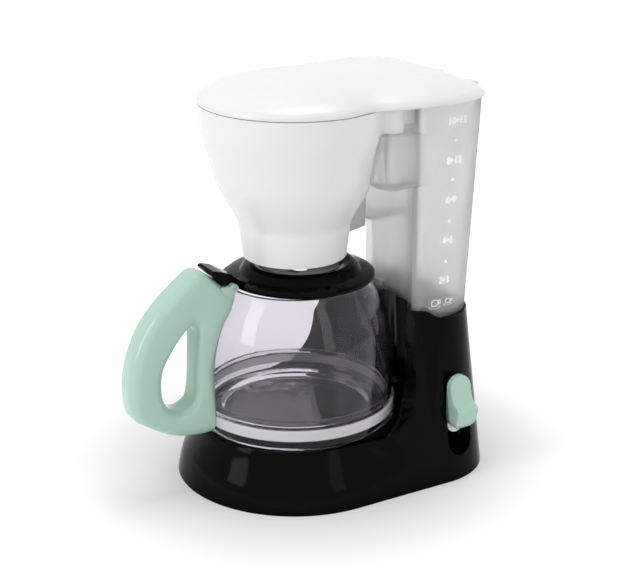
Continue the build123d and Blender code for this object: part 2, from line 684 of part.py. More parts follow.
def switch_button():
    """Thumb piece: round at both ends, thin above, with a lip below."""
    low = BUTTON_Z0
    high = BUTTON_Z1
    side = make_face([
        Line((BUTTON_X, low), (56.4, low)),
        Spline((56.4, low), (60.6, low + 4.0), (63.0, 38.0), tangents=((1, 0.5), (0.2, 1))),
        Line((63.0, 38.0), (61.4, 40.0)),
        Spline((61.4, 40.0), (57.6, 43.0), (56.0, 48.0), (54.6, high), tangents=((-1, 0.2), (-0.2, 1))),
        Line((54.6, high), (BUTTON_X, high)),
        Line((BUTTON_X, high), (BUTTON_X, low)),
    ])
    body = extrude(Plane.XZ * side, BUTTON_HALF * 2, dir=(0, 1, 0))
    body = at(0, SWITCH_Y - BUTTON_HALF, 0) * body
    return one(body & round_ended(BUTTON_X - 1, 70, BUTTON_HALF, low, high))


def round_ended(x0, x1, half, z0, z1):
    """Slab across X at the switch, round at its lower and upper end."""
    slab = box(x0, x1, SWITCH_Y - half, SWITCH_Y + half, z0 + half, z1 - half)
    slab += along_x(half, x0, x1, SWITCH_Y, z0 + half)
    return slab + along_x(half, x0, x1, SWITCH_Y, z1 - half)


def switch_carriage():
    """Slide in the guide, with a stem out through the slot and a shoe that carries the button."""
    half = SLOT_HALF - 0.15
    foot_x = GUIDE_X + 2.2
    foot_half = GUIDE_SLOT_HALF - 0.3
    body = box(foot_x, SHOE_X, SWITCH_Y - half, SWITCH_Y + half, 27.0, 49.0)
    body += box(foot_x, foot_x + 2.1, SWITCH_Y - foot_half, SWITCH_Y + foot_half, 27.0, 52.0)
    return one(body + round_ended(SHOE_X, BUTTON_X, SHOE_HALF, SHOE_Z0, BUTTON_Z1 - 2.0))


def switch_guide():
    """Channel behind the slot, with a flange for its screws."""
    mid = SWITCH_Y
    rail_x = GUIDE_X + GUIDE_REACH
    slot = GUIDE_SLOT_HALF
    body = box(GUIDE_X - GUIDE_T, rail_x, mid - GUIDE_HALF, mid + GUIDE_HALF, GUIDE_Z0, GUIDE_Z1)
    body -= box(GUIDE_X, rail_x + 1, mid - slot, mid + slot, GUIDE_Z0 - 1, GUIDE_Z1 + 1)
    body += box(GUIDE_X, GUIDE_X + GUIDE_FLANGE_T, GUIDE_SCREW_Y - 3.0, mid - slot, 18.0, 54.0)
    for z in GUIDE_SCREW_Z:
        body -= along_x(GUIDE_SCREW_R + 0.1, GUIDE_X - 1, GUIDE_X + 4, GUIDE_SCREW_Y, z)
    return one(body)


def switch_guide_screws():
    screws = []
    for z in GUIDE_SCREW_Z:
        head = along_x(2.0, GUIDE_X - 1.2, GUIDE_X, GUIDE_SCREW_Y, z)
        shank = along_x(GUIDE_SCREW_R, GUIDE_X, GUIDE_X + 8.0, GUIDE_SCREW_Y, z)
        screws.append(one(head + shank))
    return Compound(children=screws)


def detent_spring():
    """Bowed leaf between the guide's floor and the carriage."""
    bow = make_face([
        ThreePointArc((GUIDE_X + 0.1, 18.0), (GUIDE_X + 1.5, 35.5), (GUIDE_X + 0.1, 53.0)),
        Line((GUIDE_X + 0.1, 53.0), (GUIDE_X + 0.1 + SPRING_T, 53.0)),
        ThreePointArc((GUIDE_X + 0.1 + SPRING_T, 53.0), (GUIDE_X + 1.5 + SPRING_T, 35.5),
                      (GUIDE_X + 0.1 + SPRING_T, 18.0)),
        Line((GUIDE_X + 0.1 + SPRING_T, 18.0), (GUIDE_X + 0.1, 18.0)),
    ])
    leaf = extrude(Plane.XZ * bow, 5.0, dir=(0, 1, 0))
    return one(at(0, SWITCH_Y - 2.5, 0) * leaf)


def build():
    nodes = {
        "base_housing": base_housing(),
        "base_plate": base_plate(),
        "base_screws": base_screws(),
        "water_tank": water_tank(),
        "tank_screws": tank_screws(),
        "lid_hinge_pins": lid_hinge_pins(),
        "filter_holder": filter_holder(),
        "filter_pivot_pin": filter_pivot_pin(),
        "tank_lid": tank_lid(),
        "jug": jug(),
        "jug_base": jug_base(),
        "jug_handle": jug_handle(),
        "jug_handle_cover": jug_handle_cover(),
        "jug_handle_screws": jug_handle_screws(),
        "jug_lid": jug_lid(),
        "jug_lid_pin": jug_lid_pin(),
        "switch_button": switch_button(),
        "switch_carriage": switch_carriage(),
        "switch_guide": switch_guide(),
        "switch_guide_screws": switch_guide_screws(),
        "detent_spring": detent_spring(),
    }
    os.makedirs("parts", exist_ok=True)
    for name, shape in nodes.items():
        export_step(shape, f"parts/{name}.step")
        print(name, shape.is_valid, round(shape.volume))


build()
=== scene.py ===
import json
import math

import bmesh
import bpy
from bpy.props import FloatProperty, FloatVectorProperty, IntProperty, PointerProperty
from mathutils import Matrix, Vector


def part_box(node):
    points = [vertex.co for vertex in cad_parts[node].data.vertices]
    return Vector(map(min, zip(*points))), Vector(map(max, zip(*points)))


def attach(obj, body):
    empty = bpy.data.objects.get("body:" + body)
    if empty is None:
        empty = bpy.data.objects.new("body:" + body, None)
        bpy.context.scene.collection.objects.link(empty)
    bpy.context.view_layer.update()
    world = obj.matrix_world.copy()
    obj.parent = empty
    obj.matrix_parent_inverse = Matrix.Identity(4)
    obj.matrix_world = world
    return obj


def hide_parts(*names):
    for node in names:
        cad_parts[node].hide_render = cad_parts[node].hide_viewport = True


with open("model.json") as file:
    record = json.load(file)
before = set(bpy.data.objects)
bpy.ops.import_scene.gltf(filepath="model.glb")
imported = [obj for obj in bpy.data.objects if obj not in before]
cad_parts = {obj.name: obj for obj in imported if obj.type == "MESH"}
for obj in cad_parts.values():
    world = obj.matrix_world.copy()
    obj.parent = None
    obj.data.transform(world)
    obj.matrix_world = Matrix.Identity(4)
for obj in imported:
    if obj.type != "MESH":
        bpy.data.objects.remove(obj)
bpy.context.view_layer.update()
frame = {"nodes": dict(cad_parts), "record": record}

bl_info = {
    "name": "Toy coffee maker",
    "version": (1, 0, 0),
    "blender": (4, 5, 0),
    "location": "View3D > Sidebar > Toy coffee maker",
    "description": "Adds the finished pieces of a toy coffee maker to its packed parts",
    "category": "Add Mesh",
}

MM = 0.001
MERGE = 0.5e-6
NODES = frame["nodes"]


# the handle's side view, in mm: (y, z)
HANDLE_OUTER = (
    (-37.0, 102.4), (-44.6, 109.2), (-52.4, 116.0), (-57.0, 118.0), (-61.5, 116.2), (-76.8, 104.2),
    (-86.5, 92.8), (-92.6, 80.5), (-95.6, 68.5), (-95.8, 55.5), (-93.6, 47.6), (-87.3, 42.4),
    (-76.0, 35.6), (-65.0, 32.4), (-53.0, 31.8), (-49.0, 34.0), (-49.0, 48.0), (-49.0, 63.0),
    (-47.6, 76.0), (-43.6, 90.0),
)
HANDLE_HOLE = (
    (-59.2, 88.0), (-62.2, 90.6), (-67.1, 86.5), (-73.4, 78.0), (-77.5, 69.8), (-78.6, 61.0),
    (-77.6, 54.3), (-74.5, 49.4), (-68.5, 47.6), (-63.0, 50.2), (-61.2, 55.0), (-60.6, 63.0),
    (-60.2, 71.0), (-59.6, 80.0),
)
HANDLE_CENTRE = (-68.5, 66.0)
HANDLE_HALF = 8.3
HANDLE_SPLIT = -4.0
HANDLE_ROUND = 5.5
HANDLE_SECTION = 40
HANDLE_STEPS = 144
HANDLE_GAP = 0.06
RING_R = 3.0
JUG_CLEARANCE = 0.15

# the ears on the handle that carry the jug lid's pin, in mm
EAR_X = (5.2, 8.0)
EAR_R = 2.4
EAR_STEM = ((-43.0, 108.8), (-46.5, 108.6), (-44.0, 101.5), (-40.0, 101.5))
PIN_Y = -39.0
PIN_Z = 107.0

# the jug's side, in mm: (radius, z)
JUG_FOOT_TOP = 42.4
JUG_FOOT_R = 51.4
JUG_SIDE = (
    (50.2, 42.4), (50.2, 58.0), (49.8, 63.7), (49.1, 72.0), (47.7, 80.3), (45.0, 88.5), (42.6, 94.5),
    (39.8, 99.8), (38.3, 102.5), (38.0, 104.7),
)

# the milky band of the jug's foot: its lower edge, its radius and how much light passes it
FOOT_BAND = (35.6 * MM, 50.9 * MM)
BAND_FADE = 0.25 * MM
BAND_CLEAR = 0.22
CLEAR_HAZE = 0.006

# the tank's wall that carries the scale
TANK_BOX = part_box("water_tank")
TANK_FOOT = 84 * MM
TANK_HALF_FOOT = 43.2 * MM
TANK_REAR_FOOT = 86 * MM
TANK_REAR_TOP = 91 * MM
TANK_CORNER = 22 * MM
INK_LIFT = 0.12 * MM
SCALE_ROWS = (
    ("10\u202215", 186.6 * MM), ("8\u202212", 166.6 * MM), ("6\u20229", 146.2 * MM), ("4\u20226", 125.2 * MM),
    ("2\u20223", 104.1 * MM),
)
SCALE_DOTS = (176.6 * MM, 156.6 * MM, 135.2 * MM, 114 * MM)
SCALE_LEAN = -1.0 * MM
CUPS_Y = 60.0 * MM
CUPS_Z = 92.5 * MM
CUPS = ((-3.4 * MM, 5.4 * MM), (4.6 * MM, 4.2 * MM))
CUP_LINE = 0.3 * MM


# the floor's paper grows whiter away from the object: from, to, by how much
FLOOR_FADES = ((0.05, 0.2, 0.3), (0.3, 0.8, 0.22))


# ------------------------------------------------------------------ settings

class PlasticSettings(bpy.types.PropertyGroup):
    """Colours and gloss of the moulded plastics."""
    black: FloatVectorProperty(
        name="Black", description="Colour of base, tower and jug lid", subtype="COLOR",
        default=(0.0012, 0.0012, 0.0016), min=0, max=1)
    white: FloatVectorProperty(
        name="White", description="Colour of funnel and tank lid", subtype="COLOR",
        default=(0.86, 0.86, 0.855), min=0, max=1)
    frosted: FloatVectorProperty(
        name="Frosted", description="Colour of the frosted tank", subtype="COLOR",
        default=(0.88, 0.88, 0.882), min=0, max=1)
    clear: FloatVectorProperty(
        name="Clear", description="Tint of the clear jug", subtype="COLOR",
        default=(0.81, 0.785, 0.83), min=0, max=1)
    mint: FloatVectorProperty(
        name="Mint", description="Colour of handle and switch button", subtype="COLOR",
        default=(0.45, 0.66, 0.56), min=0, max=1)
    gloss: FloatProperty(
        name="Roughness", description="Roughness of the glossy plastics", default=0.16, min=0, max=1)


class MouldSettings(bpy.types.PropertyGroup):
    """Rounding of the moulded edges."""
    edge: FloatProperty(
        name="Edge", description="Radius of an outer moulded edge", subtype="DISTANCE", unit="LENGTH",
        default=0.8 * MM, min=0.1 * MM, max=2 * MM)
    fine_edge: FloatProperty(
        name="Fine edge", description="Radius of a thin rim", subtype="DISTANCE", unit="LENGTH",
        default=0.4 * MM, min=0.05 * MM, max=1 * MM)
    segments: IntProperty(name="Segments", description="Faces across an edge", default=3, min=1, max=6)


class ScaleSettings(bpy.types.PropertyGroup):
    """The printed water scale."""
    height: FloatProperty(
        name="Height", description="Height of a printed number", subtype="DISTANCE", unit="LENGTH",
        default=3.6 * MM, min=1 * MM, max=8 * MM)
    centre_y: FloatProperty(
        name="Place", description="Where the scale's middle is, front to back", subtype="DISTANCE",
        unit="LENGTH", default=65.8 * MM, min=50 * MM, max=70 * MM)


class StudioSettings(bpy.types.PropertyGroup):
    """Camera, floor and lamps."""
    azimuth: FloatProperty(name="Azimuth", description="Camera's bearing from +Y", default=59.0)
    elevation: FloatProperty(name="Elevation", description="Camera's height angle", default=19.94)
    distance: FloatProperty(
        name="Distance", description="Camera to aim point", subtype="DISTANCE", unit="LENGTH", default=0.816)
    aim: FloatVectorProperty(
        name="Aim", description="Point that the camera looks at", subtype="TRANSLATION", unit="LENGTH",
        default=(6.6 * MM, 11.0 * MM, 96.7 * MM))
    lens: FloatProperty(name="Lens", description="Focal length in mm on a 36 mm sensor", default=90.0)
    world: FloatProperty(name="World", description="Strength of the even light", default=0.6)
    key: FloatProperty(name="Key", description="Power of the large softbox", default=2.2)


# ------------------------------------------------------------------ materials

def principled(name):
    """A new material with its own shader, ready for more nodes."""
    mat = bpy.data.materials.new(name)
    mat.use_nodes = True
    shader = mat.node_tree.nodes["Principled BSDF"]
    return mat, shader


def add_node(mat, kind, **values):
    """A node with some of its inputs set."""
    node = mat.node_tree.nodes.new(kind)
    for key, value in values.items():
        node.inputs[key].default_value = value
    return node


def link(mat, source, target):
    mat.node_tree.links.new(source, target)


def mould_texture(mat, shader, tone, roughness, scale=90.0, depth=0.02, spread=0.05):
    """Slight unevenness of colour, gloss and surface, as on moulded plastic."""
    place = mat.node_tree.nodes.new("ShaderNodeTexCoord")
    cloud = add_node(mat, "ShaderNodeTexNoise", Scale=scale * 0.4, Detail=3.0, Roughness=0.5)
    fine = add_node(mat, "ShaderNodeTexNoise", Scale=scale * 12, Detail=2.0, Roughness=0.6)
    link(mat, place.outputs["Object"], cloud.inputs["Vector"])
    link(mat, place.outputs["Object"], fine.inputs["Vector"])
    ramp = mat.node_tree.nodes.new("ShaderNodeValToRGB")
    low = [max(0.0, c * (1 - spread)) for c in tone]
    high = [min(1.0, c * (1 + spread)) for c in tone]
    ramp.color_ramp.elements[0].position = 0.1
    ramp.color_ramp.elements[0].color = (*low, 1)
    ramp.color_ramp.elements[1].position = 0.9
    ramp.color_ramp.elements[1].color = (*high, 1)
    link(mat, cloud.outputs["Fac"], ramp.inputs["Fac"])
    link(mat, ramp.outputs["Color"], shader.inputs["Base Color"])
    gloss = mat.node_tree.nodes.new("ShaderNodeMapRange")
    gloss.inputs["To Min"].default_value = roughness * 0.94
    gloss.inputs["To Max"].default_value = roughness * 1.06
    link(mat, cloud.outputs["Fac"], gloss.inputs["Value"])
    link(mat, gloss.outputs["Result"], shader.inputs["Roughness"])
    bump = add_node(mat, "ShaderNodeBump", Strength=depth, Distance=0.0002)
    link(mat, fine.outputs["Fac"], bump.inputs["Height"])
    link(mat, bump.outputs["Normal"], shader.inputs["Normal"])


def gloss_plastic(name, tone, roughness, spread=0.03, glow=0.0, shine=0.5):
    """Opaque moulded plastic; glow is the light that scatters in it."""
    mat, shader = principled(name)
    shader.inputs["IOR"].default_value = 1.5
    shader.inputs["Specular IOR Level"].default_value = shine
    shader.inputs["Subsurface Weight"].default_value = glow
    shader.inputs["Subsurface Scale"].default_value = 0.002
    mould_texture(mat, shader, tone, roughness, spread=spread)
    return mat


def frosted_plastic(name, tone):
    """Milky plastic that shows dimly what is behind it."""
    mat, shader = principled(name)
    shader.inputs["IOR"].default_value = 1.12
    shader.inputs["Transmission Weight"].default_value = 0.75
    shader.inputs["Subsurface Weight"].default_value = 0.9
    shader.inputs["Subsurface Radius"].default_value = (1.0, 1.0, 1.0)
    shader.inputs["Subsurface Scale"].default_value = 0.02
    mould_texture(mat, shader, tone, 0.5, scale=140.0, depth=0.06, spread=0.02)
    return mat


def clear_plastic(name, tone):
    """See-through plastic; a little haze keeps its body visible."""
    mat, shader = principled(name)
    shader.inputs["IOR"].default_value = 1.3
    shader.inputs["Transmission Weight"].default_value = 1.0 - CLEAR_HAZE
    mould_texture(mat, shader, tone, 0.02, scale=40.0, depth=0.01, spread=0.01)
    return mat


def banded_clear(name, tone):
    """Clear plastic of the jug's foot, with a milky band round its outside."""
    mat = clear_plastic(name, tone)
    shader = mat.node_tree.nodes["Principled BSDF"]
    place = mat.node_tree.nodes.new("ShaderNodeTexCoord")
    split = mat.node_tree.nodes.new("ShaderNodeSeparateXYZ")
    link(mat, place.outputs["Object"], split.inputs["Vector"])
    rise = add_node(mat, "ShaderNodeMapRange")
    rise.inputs["From Min"].default_value = FOOT_BAND[0] - BAND_FADE
    rise.inputs["From Max"].default_value = FOOT_BAND[0] + BAND_FADE
    link(mat, split.outputs["Z"], rise.inputs["Value"])
    out = mat.node_tree.nodes.new("ShaderNodeVectorMath")
    out.operation = "MULTIPLY"
    out.inputs[1].default_value = (1.0, 1.0, 0.0)
    link(mat, place.outputs["Object"], out.inputs[0])
    radius = mat.node_tree.nodes.new("ShaderNodeVectorMath")
    radius.operation = "LENGTH"
    link(mat, out.outputs["Vector"], radius.inputs[0])
    reach = add_node(mat, "ShaderNodeMapRange")
    reach.inputs["From Min"].default_value = FOOT_BAND[1] - BAND_FADE
    reach.inputs["From Max"].default_value = FOOT_BAND[1] + BAND_FADE
    link(mat, radius.outputs["Value"], reach.inputs["Value"])
    band = mat.node_tree.nodes.new("ShaderNodeMath")
    band.operation = "MULTIPLY"
    link(mat, rise.outputs["Result"], band.inputs[0])
    link(mat, reach.outputs["Result"], band.inputs[1])
    clear = add_node(mat, "ShaderNodeMapRange")
    clear.inputs["To Min"].default_value = 1.0 - CLEAR_HAZE
    clear.inputs["To Max"].default_value = BAND_CLEAR
    link(mat, band.outputs["Value"], clear.inputs["Value"])
    link(mat, clear.outputs["Result"], shader.inputs["Transmission Weight"])
    return mat


def steel(name):
    mat, shader = principled(name)
    shader.inputs["Metallic"].default_value = 1.0
    mould_texture(mat, shader, (0.55, 0.55, 0.56), 0.3, scale=200.0, depth=0.05)
    return mat


def glowing_print_ink(name):
    """Opaque white print that also glows a little, a painted brightness so that it reads white on the shaded
    tank wall.
    """
    mat, shader = principled(name)
    # painted light: the print glows, brighter than the lamps alone would make it
    shader.inputs["Emission Color"].default_value = (1, 1, 1, 1)
    shader.inputs["Emission Strength"].default_value = 0.45
    mould_texture(mat, shader, (0.97, 0.97, 0.97), 0.4, scale=200.0, depth=0.02, spread=0.02)
    return mat


FINISHES = {}


def finish(slot):
    """The material of a slot, made once."""
    if slot not in FINISHES:
        kit = bpy.context.scene.toy_plastic
        makers = {
            "black_plastic": lambda: gloss_plastic(
                "black_plastic", kit.black, kit.gloss * 0.6, spread=0.1, shine=0.05),
            "white_plastic": lambda: gloss_plastic(
                "white_plastic", kit.white, kit.gloss * 1.6, spread=0.006, glow=0.1),
            "mint_plastic": lambda: gloss_plastic(
                "mint_plastic", kit.mint, kit.gloss * 0.8, spread=0.008, glow=0.06),
            "frosted_plastic": lambda: frosted_plastic("frosted_plastic", kit.frosted),
            "clear_plastic": lambda: clear_plastic("clear_plastic", kit.clear),
            "clear_foot": lambda: banded_clear("clear_foot", kit.clear),
            "steel": lambda: steel("steel"),
            # the ink is real print with a painted glow on it
            "ink": lambda: glowing_print_ink("ink"),
        }
        FINISHES[slot] = makers[slot]()
    return FINISHES[slot]


# ------------------------------------------------------------------ pieces

def body_of_node(node):
    for body, members in frame["record"]["behaviour"]["bodies"].items():
        if node in members:
            return body
    raise RuntimeError(f"no body holds {node}")


def new_piece(name, bm, body, slot, smooth=35.0, look=None):
    """A mesh object at the origin that rides on a body; its look is its slot's unless one is given."""
    mesh = bpy.data.meshes.new(name)
    bm.to_mesh(mesh)
    bm.free()
    mesh.shade_smooth()
    mesh.set_sharp_from_angle(angle=math.radians(smooth))
    mesh.materials.append(finish(look or slot))
    obj = bpy.data.objects.new(name, mesh)
    bpy.context.scene.collection.objects.link(obj)
    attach(obj, body)
    return obj


def slot_of_node(node):
    for row in frame["record"]["subparts"]:
        if row["node"] == node:
            return row["material_slot"]
    raise RuntimeError(f"no slot for {node}")


def rounded_copy(node, edge, segments=3, angle=32.0, look=None):
    """The node's own shape, merged into one mesh, with its moulded edges rounded."""
    bm = bmesh.new()
    bm.from_mesh(NODES[node].data)
    bmesh.ops.remove_doubles(bm, verts=bm.verts, dist=MERGE)
    bmesh.ops.dissolve_degenerate(bm, dist=MERGE, edges=bm.edges)
    flat = math.radians(0.2)
    bmesh.ops.dissolve_limit(bm, angle_limit=flat, verts=bm.verts, edges=bm.edges)
    obj = new_piece(f"{node}_moulding", bm, body_of_node(node), slot_of_node(node), look=look)
    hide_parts(node)
    bevel = obj.modifiers.new("Edges", "BEVEL")
    bevel.width = edge
    bevel.segments = segments
    bevel.limit_method = "ANGLE"
    bevel.angle_limit = math.radians(angle)
    bevel.use_clamp_overlap = True
    bevel.harden_normals = True
    return obj


def dress(node):
    """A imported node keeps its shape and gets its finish."""
    obj = NODES[node]
    obj.data.materials.clear()
    obj.data.materials.append(finish(slot_of_node(node)))


# ------------------------------------------------------------------ operators

class TOY_OT_housing(bpy.types.Operator):
    """Add the black base and tower with rounded edges"""
    bl_idname = "toy.housing"
    bl_label = "Base and tower"

    def execute(self, context):
        mould = context.scene.toy_mould
        rounded_copy("base_housing", mould.edge, mould.segments)
        for node in ("base_plate", "switch_guide"):
            dress(node)
        return {"FINISHED"}


def tank_wall(y, z):
    """X of the tank's outer wall on the switch side, where it is flat and round its rear corner."""
    low, high = TANK_BOX
    share = (z - TANK_FOOT) / (high[2] - TANK_FOOT)
    half = TANK_HALF_FOOT + (high[0] - TANK_HALF_FOOT) * share
    corner_y = TANK_REAR_FOOT + (TANK_REAR_TOP - TANK_REAR_FOOT) * share - TANK_CORNER
    past = max(0.0, y - corner_y)
    return half - TANK_CORNER + math.sqrt(max(TANK_CORNER ** 2 - past ** 2, 0.0))


def wrap_on_tank(bm, middle_y, middle_z):
    """Lays a flat print, drawn in XY, on the tank's wall, reading from front to rear."""
    for vert in bm.verts:
        y = middle_y + vert.co.x
        z = middle_z + vert.co.y
        vert.co = (tank_wall(y, z) + INK_LIFT + vert.co.z, y, z)


def number_mesh(text, height):
    """Text drawn as a mesh in XY, centred, a little thick."""
    curve = bpy.data.curves.new("number", "FONT")
    curve.body = text
    curve.size = height * 1.35
    curve.align_x = "CENTER"
    curve.align_y = "CENTER"
    curve.extrude = 0.04 * MM
    curve.resolution_u = 3
    holder = bpy.data.objects.new("number", curve)
    bm = bmesh.new()
    bm.from_mesh(bpy.data.meshes.new_from_object(holder))
    bpy.data.objects.remove(holder)
    bmesh.ops.remove_doubles(bm, verts=bm.verts, dist=MERGE)
    bmesh.ops.subdivide_edges(
        bm, edges=[e for e in bm.edges if e.calc_length() > 0.6 * MM], cuts=1)
    return bm


def dot_mesh(radius):
    """A small disc in XY."""
    bm = bmesh.new()
    bmesh.ops.create_cone(
        bm, cap_ends=True, segments=20, radius1=radius, radius2=radius, depth=0.08 * MM)
    return bm


def cup_mesh(width):
    """Outline of a plain cup seen from the side: a bowl, a ring for a handle and a saucer."""
    bm = bmesh.new()
    for radius, place, squash in (
            (width * 0.42, Vector((0, 0, 0)), 0.8),
            (width * 0.18, Vector((width * 0.5, width * 0.06, 0)), 1.0),
            (width * 0.62, Vector((0, -width * 0.44, 0)), 0.22)):
        new = bmesh.ops.create_circle(bm, cap_ends=True, segments=28, radius=radius)["verts"]
        face = new[0].link_faces[0]
        ring = bmesh.ops.inset_region(
            bm, faces=[face], thickness=CUP_LINE, use_boundary=True, use_even_offset=True)
        bmesh.ops.delete(bm, geom=[face], context="FACES_ONLY")
        moved = list({v for f in ring["faces"] for v in f.verts})
        bmesh.ops.scale(bm, verts=moved, vec=(1, squash, 1))
        bmesh.ops.translate(bm, verts=moved, vec=place)
    thick = bmesh.ops.extrude_face_region(bm, geom=list(bm.faces))
    top = [item for item in thick["geom"] if isinstance(item, bmesh.types.BMVert)]
    bmesh.ops.translate(bm, verts=top, vec=(0, 0, 0.06 * MM))
    bmesh.ops.recalc_face_normals(bm, faces=bm.faces)
    return bm


class TOY_OT_tank(bpy.types.Operator):
    """Add the frosted tank"""
    bl_idname = "toy.tank"
    bl_label = "Water tank"

    def execute(self, context):
        mould = context.scene.toy_mould
        rounded_copy("water_tank", mould.edge, mould.segments)
        return {"FINISHED"}


class TOY_OT_scale(bpy.types.Operator):
    """Print the water scale on the tank"""
    bl_idname = "toy.scale"
    bl_label = "Water scale"

    def execute(self, context):
        kit = context.scene.toy_scale
        for row, (text, height) in enumerate(SCALE_ROWS):
            bm = number_mesh(text, kit.height)
            wrap_on_tank(bm, kit.centre_y + SCALE_LEAN * row, height)
            new_piece(f"scale_number_{row + 1}", bm, "stand", "white_plastic", look="ink")
        for row, height in enumerate(SCALE_DOTS):
            bm = dot_mesh(kit.height * 0.2)
            wrap_on_tank(bm, kit.centre_y + SCALE_LEAN * (row + 0.5), height)
            new_piece(f"scale_dot_{row + 1}", bm, "stand", "white_plastic", look="ink")
        for row, (shift, width) in enumerate(CUPS):
            bm = cup_mesh(width)
            wrap_on_tank(bm, CUPS_Y + shift, CUPS_Z)
            new_piece(f"scale_cup_{row + 1}", bm, "stand", "white_plastic", look="ink")
        return {"FINISHED"}


class TOY_OT_lid(bpy.types.Operator):
    """Add the white lid over tank and funnel"""
    bl_idname = "toy.lid"
    bl_label = "Tank lid"

    def execute(self, context):
        mould = context.scene.toy_mould
        rounded_copy("tank_lid", mould.edge, mould.segments)
        return {"FINISHED"}


class TOY_OT_filter(bpy.types.Operator):
    """Add the white funnel"""
    bl_idname = "toy.filter"
    bl_label = "Filter holder"

    def execute(self, context):
        mould = context.scene.toy_mould
        rounded_copy("filter_holder", mould.fine_edge, mould.segments)
        dress("filter_pivot_pin")
        return {"FINISHED"}


class TOY_OT_jug(bpy.types.Operator):
    """Add the clear jug"""
    bl_idname = "toy.jug"
    bl_label = "Jug"

    def execute(self, context):
        mould = context.scene.toy_mould
        rounded_copy("jug", mould.fine_edge, mould.segments)
        rounded_copy("jug_base", mould.fine_edge, mould.segments, look="clear_foot")
        return {"FINISHED"}


def smooth_run(points, steps=8):
    """Points along a smooth closed curve through the given ones."""
    count = len(points)
    run = []
    for i in range(count):
        p0, p1, p2, p3 = (Vector(points[(i + k) % count]) for k in (-1, 0, 1, 2))
        for step in range(steps):
            t = step / steps
            run.append(0.5 * (
                2 * p1 + (p2 - p0) * t + (2 * p0 - 5 * p1 + 4 * p2 - p3) * t ** 2
                + (3 * p1 - 3 * p2 + p3 - p0) * t ** 3))
    return run


def reach_of(run, centre, direction):
    """How far a closed run of points is from the centre in a direction."""
    best = 0.0
    for a, b in zip(run, run[1:] + run[:1]):
        side = b - a
        cross = direction.x * side.y - direction.y * side.x
        if abs(cross) < 1e-12:
            continue
        offset = a - centre
        along = (offset.x * side.y - offset.y * side.x) / cross
        share = (offset.x * direction.y - offset.y * direction.x) / cross
        if along > 0 and -1e-9 <= share <= 1 + 1e-9:
            best = max(best, along)
    return best


def jug_radius(z):
    """Outer radius of the jug and its foot at a height."""
    if z < JUG_FOOT_TOP:
        return JUG_FOOT_R
    rows = list(zip(JUG_SIDE, JUG_SIDE[1:]))
    for (r0, z0), (r1, z1) in rows:
        if z <= z1:
            return r0 + (r1 - r0) * (max(z, z0) - z0) / (z1 - z0)
    return JUG_SIDE[-1][0]


def handle_ring():
    """The handle: a soft-edged loop round the finger hole, hugging the jug."""
    outer = smooth_run([Vector((y * MM, z * MM)) for y, z in HANDLE_OUTER])
    hole = smooth_run([Vector((y * MM, z * MM)) for y, z in HANDLE_HOLE])
    centre = Vector((HANDLE_CENTRE[0] * MM, HANDLE_CENTRE[1] * MM))
    bm = bmesh.new()
    section = bmesh.ops.create_circle(bm, cap_ends=False, segments=HANDLE_SECTION, radius=1.0)["verts"]
    bmesh.ops.translate(bm, verts=section, vec=(RING_R, 0, 0))
    bmesh.ops.spin(
        bm, geom=list(bm.verts) + list(bm.edges), cent=(0, 0, 0), axis=(0, 1, 0),
        angle=math.tau, steps=HANDLE_STEPS, use_merge=True)
    step = math.tau / HANDLE_STEPS
    rays = []
    for index in range(HANDLE_STEPS):
        direction = Vector((math.cos(index * step), math.sin(index * step)))
        rays.append((direction, reach_of(hole, centre, direction), reach_of(outer, centre, direction)))
    for vert in bm.verts:
        direction, near, far = rays[round(math.atan2(vert.co.z, vert.co.x) / step) % HANDLE_STEPS]
        across = math.hypot(vert.co.x, vert.co.z) - RING_R
        half = (far - near) / 2
        edge = min(half, HANDLE_ROUND * MM)
        place = centre + direction * (near + half + across * edge + math.copysign(half - edge, across))
        flat = (HANDLE_HALF - HANDLE_ROUND) * MM
        aside = vert.co.y * HANDLE_ROUND * MM + math.copysign(flat, vert.co.y)
        vert.co = (aside, place.x, place.y)
    for vert in bm.verts:
        limit = (jug_radius(vert.co.z / MM) + JUG_CLEARANCE) * MM
        flat = Vector((vert.co.x, vert.co.y))
        if flat.length < limit:
            vert.co.y = -math.sqrt(max(limit ** 2 - vert.co.x ** 2, 0.0))
    bmesh.ops.recalc_face_normals(bm, faces=bm.faces)
    return bm


def half_of(bm, x, keep_plus):
    """Cuts a ring at x and closes the cut, keeping one side."""
    side = 1 if keep_plus else -1
    bmesh.ops.bisect_plane(
        bm, geom=list(bm.verts) + list(bm.edges) + list(bm.faces), dist=1e-7,
        plane_co=(x, 0, 0), plane_no=(side, 0, 0), clear_inner=True)
    rim = [e for e in bm.edges if e.is_boundary]
    bmesh.ops.bridge_loops(bm, edges=rim)
    bmesh.ops.recalc_face_normals(bm, faces=bm.faces)
    return bm


def add_ear(bm, low_x, high_x):
    """Adds a round ear with a sloping stem, between two places along the lid's pin."""
    turns = [math.radians(-60 + 15 * step) for step in range(15)]
    run = [(PIN_Y + EAR_R * math.cos(t), PIN_Z + EAR_R * math.sin(t)) for t in turns] + list(EAR_STEM)
    verts = [bm.verts.new((low_x * MM, y * MM, z * MM)) for y, z in run]
    face = bm.faces.new(verts)
    new = bmesh.ops.extrude_face_region(bm, geom=[face])["geom"]
    far = [item for item in new if isinstance(item, bmesh.types.BMVert)]
    bmesh.ops.translate(bm, verts=far, vec=((high_x - low_x) * MM, 0, 0))
    bmesh.ops.recalc_face_normals(bm, faces=bm.faces)


